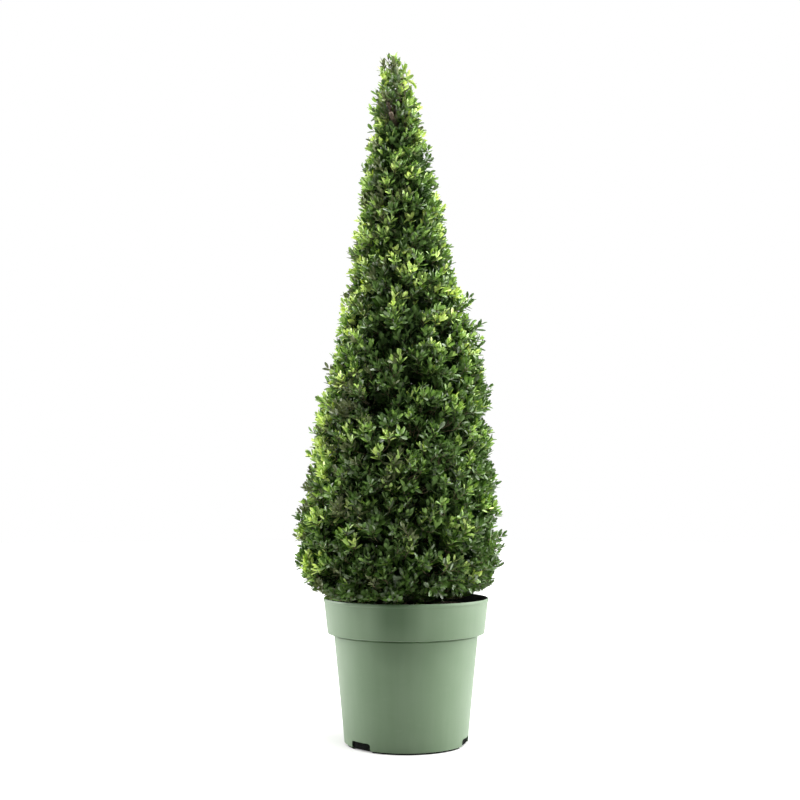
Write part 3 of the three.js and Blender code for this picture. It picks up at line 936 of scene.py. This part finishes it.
def growSprays():
    fillAzimuth, fillHeight, fillOffset = fillSprays.T
    strayAzimuth, strayHeight, strayStand = strayShoots.T
    groups = [
        outerSprays(),
        innerSprays(),
        scattered(spray["hanging"]),
        (fillAzimuth, fillHeight, outwardAt(fillAzimuth), fillOffset, 0.0, spray["lift"]),
        scattered(spray["sparse"]),
        (strayAzimuth, strayHeight, outwardAt(strayAzimuth), strayStand - 0.003, strayStand, 0.8),
    ]

    # one value for a whole group is repeated for each of its sprays
    def joined(column):
        rows = [(group[column], len(group[0])) for group in groups]
        rows = [np.broadcast_to(row, (count, *np.shape(row)[1:])) for row, count in rows]
        return np.concatenate(rows)

    azimuth, height, normal, offset, stand, lift = (joined(column) for column in range(6))
    outer = np.arange(len(azimuth)) < len(groups[0][0])
    scatter = random.normal(0, spray["scatter"], normal.shape)
    heading = unit(normal + lift[:, None] * up + scatter)
    tip = onSurface(azimuth, height) + heading * offset[:, None]
    tip = np.vstack([tip, tipSprigs])
    heading = np.vstack([heading, unit(up + random.normal(0, 0.1, tipSprigs.shape))])
    stand = np.append(stand, np.zeros(len(tipSprigs)))
    outer = np.append(outer, np.full(len(tipSprigs), True))
    tip[:, 2] = np.clip(tip[:, 2], soil["level"] + 0.012, plant["top"] - 0.013)
    clear = keepsClear(tip, stand)
    tip, heading, stand, outer = tip[clear], heading[clear], stand[clear], outer[clear]

    root = nearestBelow(tip, woodPoints, spray["rise"])
    span = lengthOf(tip - root)[:, None]
    bend = tip - heading * span * 0.5
    count = len(tip)
    ids = np.arange(count)
    turn = uniform(0, math.pi, count)
    gap = uniform(*spray["gap"], count)

    # larger leaves where few have to close much: inside, and behind the old cut
    fromMiddle = np.hypot(*(tip[:, :2] - centreAt(tip[:, 2])).T)
    inMiddle = fromMiddle < 0.5 * clippedRadius(azimuthOf(tip), tip[:, 2])
    growth = np.where(inMiddle, spray["middleSize"], spray["innerSize"])
    size = uniform(*spray["size"], count) * np.where(outer | (stand > 0), 1, growth)
    behind = spray["behindCut"]
    (x, z), (across, upwards) = behind["place"], behind["half"]
    isBehind = (np.abs(tip[:, 2] - z) < upwards) & (np.abs(tip[:, 0] - x) < across)
    isBehind &= tip[:, 1] > behind["from"]
    size = np.where(isBehind, behind["size"], 1) * size
    addPairs(root, bend, tip, spray["pairs"], gap, turn, size, ids, stand, 0)
    twigs = [thinTwigs(root, bend, tip, 5, (1.5, 1))]

    for node in sideTwig["nodes"]:
        at = np.clip(1 - (node * gap) / (2 * lengthOf(tip - bend)), 0.05, 1)[:, None]
        foot = along(root, bend, tip, at)[:, 0]
        main = headingAlong(root, bend, tip, at)[:, 0]
        first, second = tangentFrame(main)
        way = np.where(random.random(count) < 0.5, 0, math.pi)
        angle = (turn + round(node) * math.pi / 2 + way)[:, None]
        lean = np.radians(uniform(*sideTwig["lean"], (count, 1)))
        sideways = first * np.cos(angle) + second * np.sin(angle)
        side = unit(main * np.cos(lean) + sideways * np.sin(lean))
        length = uniform(*sideTwig["length"], (count, 1))
        sideTip = foot + unit(side + 0.3 * up) * length
        sideBend = foot + side * length * 0.5
        grows = keepsClear(sideTip, stand) & outer
        grows &= tip[:, 2] < uniform(*sideTwig["noneAbove"], count)
        foot, sideTip, sideBend = foot[grows], sideTip[grows], sideBend[grows]
        sideTurn = uniform(0, math.pi, len(foot))
        sideGap = uniform(*sideTwig["gap"], len(foot))
        addPairs(
            foot, sideBend, sideTip, sideTwig["pairs"], sideGap, sideTurn,
            size[grows] * sideTwig["size"], ids[grows], stand[grows], 1,
        )
        twigs.append(thinTwigs(foot, sideBend, sideTip, 3, (0.8, 0.3)))

    piece = meshOfTubes("twigs", twigs)
    bark = barkLook("young_twig_bark", spray["twig"], spray["twigDark"], 900)
    dress(piece, [bark], "foliage_cone")
    return tip


sprayTips = growSprays()
leaf = {key: np.concatenate(rows) for key, rows in leafRows.items()}
print("sprays grown:", len(sprayTips), "with", len(leaf["length"]), "leaves")


# The leaves' colours, dealt out by spray and by age, and darker deep inside the plant as painted
# shade
leafKinds = {  # colour above and underneath, and roughness
    # deep: painted shade, for leaves deep inside the plant
    "deep": ((0.036, 0.086, 0.012), (0.05, 0.1, 0.022), 0.45),
    "dark": ((0.078, 0.155, 0.026), (0.12, 0.205, 0.058), 0.33),
    "mid": ((0.168, 0.295, 0.05), (0.21, 0.338, 0.088), 0.34),
    "fresh": ((0.33, 0.475, 0.11), (0.35, 0.485, 0.15), 0.36),
    "lime": ((0.57, 0.7, 0.25), (0.56, 0.68, 0.27), 0.4),
    "olive": ((0.135, 0.172, 0.064), (0.165, 0.2, 0.09), 0.42),
    # grey: partly grey-green leaves, partly painted gloss highlights
    "grey": ((0.185, 0.245, 0.145), (0.215, 0.275, 0.175), 0.4),
}
# How kinds are dealt out: what each part of the plant adds to youth and painted light, olive and
# grey
leafDeal = {
    "youthAndPaintedLight": {
        # some of these paint light and shade: left is partly fresh growth and partly painted rim
        # light, rightUpper and topRight are painted light from the right, skirt and dimBand are
        # painted shade
        "always": -0.04, "left": 0.3, "rightUpper": 0.16, "upper": 0.06, "belt": 0.12,
        "patches": 0.34, "rank": -0.16, "top": 0.02, "topRight": 0.35, "skirt": -0.32,
        "dimBand": -0.22, "dimRight": -0.16,
    },
    # more olive leaves in the dimBand as painted shade
    "olive": {"olivePatches": 0.35, "right": -0.3, "dimBand": 0.15, "top": 0.32},
    # grey leaves are partly painted gloss highlights; those added on the skirt are painted
    # highlights
    "grey": {"always": 0.12, "top": 0.25, "skirt": 0.15},
    "evenness": 1.6,
    "scatter": 0.07,
    "from": {"mid": 0.12, "fresh": 0.49, "lime": 0.8},  # the youth and painted light that each kind starts at
    "oliveFrom": 0.93,
    "noLimeAbove": 1.16,
    "depths": (0.0205, 0.03, 0.038),  # painted shade: depths at which leaves turn dark, deep, and deep even where lime
}


def dealKinds():
    names = list(leafKinds)
    deep, dark, mid, fresh, lime, olive, grey = range(len(names))
    foot, rank = leaf["foot"], leaf["rank"]
    tip = sprayTips[leaf["spray"]]
    azimuth, height = azimuthOf(tip), tip[:, 2]
    right = np.cos(azimuth)
    fromCentre = np.hypot(*(foot[:, :2] - centreAt(foot[:, 2])).T)
    depth = clippedRadius(azimuthOf(foot), foot[:, 2]) - fromCentre
    fromBand = np.angle(np.exp(1j * (azimuth + 2.18)))
    top = ramp(height, 1.0, 0.12)
    fields = {
        "always": 1,
        "rank": rank,
        # partly fresh growth, partly painted rim light
        "left": ramp(-right, 0.5, 0.4),
        "right": right,
        # painted light from the right
        "rightUpper": ramp(right, 0.5, 0.4) * ramp(height, 0.55, 0.1),
        "upper": ramp(height, 0.55, 0.4),
        "belt": bell(height, 0.69, 0.11),
        "top": top,
        # painted light from the right, at the top
        "topRight": top * np.clip(3 * right, -0.4, 1),
        # painted shade low on the skirt, where grey leaves also stand for painted highlights
        "skirt": ramp(height, 0.325, -0.06),
        # painted shade on the front-left, above 0.4 m
        "dimBand": bell(fromBand, 0, 0.28) * ramp(height, 0.4, 0.1),
        "dimRight": bell(height, 0.49, 0.08) * ramp(right, -0.6, 0.6),
        "patches": lumps(azimuth, height, 0.11, 1.7),
        "olivePatches": lumps(azimuth, height, 0.13, 4.1),
    }

    def amount(wanted):
        return sum(share * fields[field] for field, share in leafDeal[wanted].items())

    draw = random.random(len(sprayTips))[leaf["spray"]]
    youthAndPaintedLight = draw ** leafDeal["evenness"] + amount("youthAndPaintedLight")
    youthAndPaintedLight += random.normal(0, leafDeal["scatter"], len(rank))
    kind = np.full(len(rank), dark)
    for name, start in leafDeal["from"].items():
        kind[youthAndPaintedLight > start] = names.index(name)
    kind[(kind == lime) & (height > leafDeal["noLimeAbove"])] = mid
    kind[leaf["stand"] > 0] = dark
    oliveDraw = random.random(len(sprayTips))[leaf["spray"]]
    kind[(kind < fresh) & (oliveDraw + amount("olive") > leafDeal["oliveFrom"])] = olive
    kind[(kind < fresh) & (random.random(len(rank)) < amount("grey"))] = grey
    darkFrom, deepFrom, allFrom = leafDeal["depths"]
    # painted shade: leaves deep inside the plant turn darker
    kind[(depth > darkFrom) & (kind > dark) & (kind != lime) & (top < 0.3)] = dark
    kind[(depth > deepFrom) & (kind != lime)] = deep
    kind[depth > allFrom] = deep
    return kind


# A leaf's blunt oval, across and along, closed over a middle rib above and one below
leafShape = {
    "rim": [
        (0, 0), (0.4, 0.28), (0.5, 0.66), (0.22, 0.98), (-0.22, 0.98), (-0.5, 0.66), (-0.4, 0.28),
    ],
    "deepRim": [(0, 0), (0.5, 0.45), (0.2, 0.97), (-0.2, 0.97), (-0.5, 0.45)],
    "thickness": 0.00045, "fold": (0.1, 0.42), "curl": (-0.1, 0.16),
    "mostTriangles": 195000,
}
# no leaf has its middle here, so that the cut end of the old leader shows
leafWindow = {"place": (-0.027, 1.079), "half": (0.011, 0.015), "before": -0.012}
leafSurface = {"pale": 1.25, "dim": 0.72, "through": (1.6, 1.5, 0.8), "throughShare": 0.28}


def leafLook(name, colour, roughness, shine):
    look, place = startLook(name)
    blotch = place.noise(160, 2).between(0.3, 0.7)
    vein = place.noise(1500, 2)
    pale = tuple(min(1, c * leafSurface["pale"] + 0.004) for c in colour)
    dim = tuple(c * leafSurface["dim"] for c in colour)
    tone = (blotch * 0.75 + vein * 0.25).mix(dim, pale)
    face = place.make("BsdfPrincipled", None, {
        "Base Color": tone,
        "Roughness": roughness + 0.12 * blotch - 0.06,
        "Specular IOR Level": shine,
        "Normal": vein.relief(0.25, 0.0004),
    })
    through = tuple(min(1, c * factor) for c, factor in zip(colour, leafSurface["through"]))
    back = place.make("BsdfTranslucent", None, {"Color": (*through, 1)})
    place.make("MixShader", None, {0: leafSurface["throughShare"], 1: face, 2: back}).finish()
    return look


def leafForm(rim):
    sides = len(rim)
    corners = [(x, y, 0) for x, y in rim] + [(0, 0.5, 0.5), (0, 0.5, -0.5)]
    upper = [(i, (i + 1) % sides, sides) for i in range(sides)]
    lower = [((i + 1) % sides, i, sides + 1) for i in range(sides)]
    return np.array(corners), np.array(upper + lower)


def makeLeaves():
    kinds = dealKinds()
    count = len(kinds)
    width = leaf["length"] * uniform(*pair["width"], count)
    fold = uniform(*leafShape["fold"], count)
    curl = uniform(*leafShape["curl"], count)
    right = np.cross(leaf["heading"], leaf["above"])

    # every leaf as this form, folded along its rib and curled towards its tip
    def shaped(form):
        x, y, z = form.T
        rise = (
            z[None] * leafShape["thickness"]
            + (fold * width)[:, None] * np.abs(x)[None]
            - (curl * leaf["length"])[:, None] * (y**2)[None]
        )
        return (
            leaf["foot"][:, None]
            + right[:, None] * (x[None] * width[:, None])[..., None]
            + leaf["heading"][:, None] * (y[None] * leaf["length"][:, None])[..., None]
            + leaf["above"][:, None] * rise[..., None]
        )

    points = shaped(leafForm(leafShape["rim"])[0])
    good = keepsClear(points, leaf["stand"][:, None]).all(1)
    middle = points.mean(1)
    (x, z), (across, upwards) = leafWindow["place"], leafWindow["half"]
    fromWindow = np.hypot((middle[:, 0] - x) / across, (middle[:, 2] - z) / upwards)
    good &= ~((middle[:, 1] < leafWindow["before"]) & (fromWindow < 1))
    total = 0
    for number, (name, (above, under, roughness)) in enumerate(leafKinds.items()):
        mine = np.flatnonzero(good & (kinds == number))
        form, formFaces = leafForm(leafShape["deepRim" if name == "deep" else "rim"])
        points = shaped(form)
        parts = 1 + len(mine) * len(formFaces) // leafShape["mostTriangles"]
        looks = [
            leafLook(name + "_leaf", above, roughness, 0.5),
            leafLook(name + "_leaf_underside", under, roughness + 0.25, 0.25),
        ]
        for part in range(parts):
            some = mine[part::parts]
            shape = points[some].reshape(-1, 3)
            faces = copies(formFaces, len(form), len(some))
            slots = np.tile(np.repeat([0, 1], len(formFaces) // 2), len(some))
            suffix = f"_{part + 1}" if parts > 1 else ""
            piece = meshFrom(f"leaves_{name}{suffix}", shape, faces, slots)
            piece.data.shade_flat()
            dress(piece, looks, "foliage_cone")
            print(piece.name, len(some))
        total += len(mine) * len(formFaces)
    print("leaves made, triangles:", total)


makeLeaves()


# Camera, floor and light
view = {
    "eye": (0, -2.06, 0.4137),
    "pitch": math.radians(90 + 4.57),
    "yaw": math.radians(0.286),
    "lens": 54,
}
studio = {
    "lamps": [  # left, right and above
        {"place": (-1.65, 0.4, 1.0), "size": (1.3, 2.0), "power": 84},
        {"place": (1.69, 0.12, 1.0), "size": (1.3, 2.0), "power": 104},
        {"place": (0.25, -0.35, 2.9), "size": (2.0, 1.6), "power": 182},
    ],
    "room": 0.075, "backdrop": 1.1, "floor": (0.5, 0.5, 0.49),
    "floorPale": (0.54, 0.54, 0.53), "floorGlow": 0.22,
    "haze": (0.05, 2.5),  # squared distances from the pot between which the floor grows white
}


def makeFloor():
    clearSelection()
    bpy.ops.mesh.primitive_circle_add(vertices=96, radius=9, fill_type="NGON", location=(0, 0, 0))
    floor = bpy.context.object
    floor.name = "studio_floor"
    look, place = startLook("pale_studio_floor")
    mottle = place.noise(3, 2).mix(studio["floor"], studio["floorPale"])
    paper = place.make("BsdfDiffuse", None, {"Color": mottle})
    east, north = place.axis(0), place.axis(1)
    distance = (east * east + north * north).between(*studio["haze"])
    haze = distance.mix((studio["floorGlow"],) * 3, (1, 1, 1))
    lit = place.make("Emission", None, {"Color": haze, "Strength": 1.0})
    overlit = place.make("AddShader", None, {0: paper, 1: lit})
    seen = place.make("LightPath")
    place.make("MixShader", None, {0: seen, 1: paper, 2: overlit}).finish()
    floor.data.materials.append(look)


# White where the camera sees it, and dim where it lights the plant
def makeRoom():
    world = bpy.data.worlds.new("white_room")
    bpy.context.scene.world = world
    world.use_nodes = True
    world.node_tree.nodes.clear()
    sky = Shade(world.node_tree)
    seen = sky.make("LightPath")
    facing = sky.make("TexCoord").axis(1)
    room = facing.between(-0.1, 0.6) * studio["backdrop"] + studio["room"]
    strength = seen.make("Mix", None, {0: seen, 2: room, 3: 1.0})
    glow = sky.make("Background", None, {"Color": (1, 1, 1, 1), "Strength": strength})
    sky.make("OutputWorld", None, {"Surface": glow})
    bpy.context.scene.view_settings.view_transform = "Standard"


def makeStudio():
    clearSelection()
    turn = (view["pitch"], 0, view["yaw"])
    bpy.ops.object.camera_add(location=view["eye"], rotation=turn)
    camera = bpy.context.object
    camera.data.lens = view["lens"]
    camera.data.sensor_width = 36
    bpy.context.scene.camera = camera
    for lamp in studio["lamps"]:
        direction = Vector((0, 0, 0.6)) - Vector(lamp["place"])
        turn = direction.to_track_quat("-Z", "Y").to_euler()
        bpy.ops.object.light_add(type="AREA", location=lamp["place"], rotation=turn)
        light = bpy.context.object.data
        light.shape = "RECTANGLE"
        light.size, light.size_y = lamp["size"]
        light.energy = lamp["power"]
    makeFloor()
    makeRoom()


makeStudio()
print("studio set")
